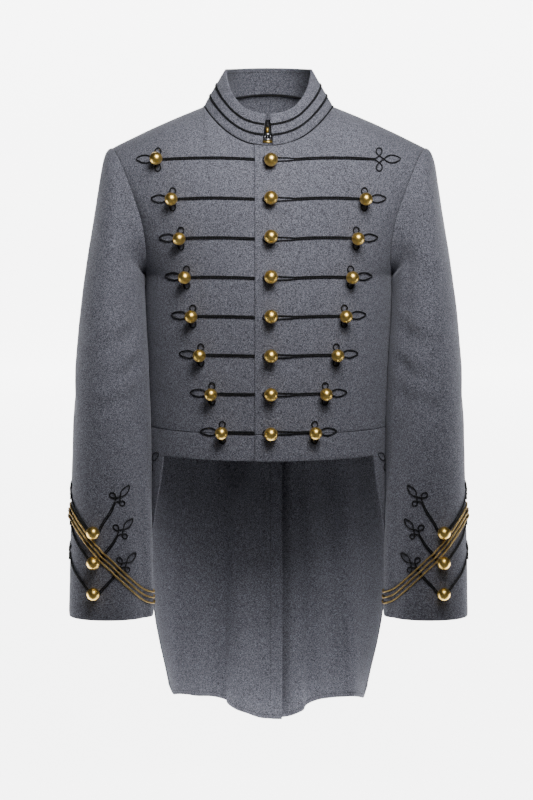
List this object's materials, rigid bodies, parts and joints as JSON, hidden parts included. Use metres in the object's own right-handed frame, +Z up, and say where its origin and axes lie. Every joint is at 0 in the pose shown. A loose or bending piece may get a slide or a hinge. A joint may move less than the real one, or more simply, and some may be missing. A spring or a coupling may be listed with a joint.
{
  "type": "full dress tailcoat",
  "caption": "Grey wool full dress tailcoat with a standing collar, rows of black cord frogs with ball buttons, trimmed cuffs and a straight front cut away to long tails, hollow as worn.",
  "frame": {"origin": "on the middle line between the shoulders, level with the side neck points where the collar meets the shoulder seams", "axes": "+Z up along the length of the coat, -Y the front, +X the wearer's left"},
  "size_m": [0.5986, 0.2726, 1.0099],
  "materials": {
    "grey_wool": "heathered grey wool, matt and slightly hairy",
    "black_braid": "black braid and cord with a low sheen",
    "gilt_brass": "polished gilt brass"
  },
  "bodies": {
    "root": {"back": "grey_wool", "front_left": "grey_wool", "front_right": "grey_wool", "tail_left": "grey_wool", "tail_right": "grey_wool", "top_sleeve_left": "grey_wool", "top_sleeve_right": "grey_wool", "under_sleeve_left": "grey_wool", "under_sleeve_right": "grey_wool", "collar": "grey_wool", "collar_braid_lower": "black_braid", "collar_braid_upper": "black_braid", "cuff_trim_left": "black_braid", "cuff_trim_right": "black_braid", "frog_left_1": "black_braid", "frog_right_1": "black_braid", "frog_left_2": "black_braid", "frog_right_2": "black_braid", "frog_left_3": "black_braid", "frog_right_3": "black_braid", "frog_left_4": "black_braid", "frog_right_4": "black_braid", "frog_left_5": "black_braid", "frog_right_5": "black_braid", "frog_left_6": "black_braid", "frog_right_6": "black_braid", "frog_left_7": "black_braid", "frog_right_7": "black_braid", "frog_left_8": "black_braid", "frog_right_8": "black_braid", "button_centre_1": "gilt_brass", "button_right_1": "gilt_brass", "button_centre_2": "gilt_brass", "button_right_2": "gilt_brass", "button_left_2": "gilt_brass", "button_centre_3": "gilt_brass", "button_right_3": "gilt_brass", "button_left_3": "gilt_brass", "button_centre_4": "gilt_brass", "button_right_4": "gilt_brass", "button_left_4": "gilt_brass", "button_centre_5": "gilt_brass", "button_right_5": "gilt_brass", "button_left_5": "gilt_brass", "button_centre_6": "gilt_brass", "button_right_6": "gilt_brass", "button_left_6": "gilt_brass", "button_centre_7": "gilt_brass", "button_right_7": "gilt_brass", "button_left_7": "gilt_brass", "button_centre_8": "gilt_brass", "button_right_8": "gilt_brass", "button_left_8": "gilt_brass", "button_cuff_left_1": "gilt_brass", "button_cuff_left_2": "gilt_brass", "button_cuff_left_3": "gilt_brass", "button_cuff_right_1": "gilt_brass", "button_cuff_right_2": "gilt_brass", "button_cuff_right_3": "gilt_brass", "collar_clasp": "gilt_brass"}
  },
  "joints": []
}
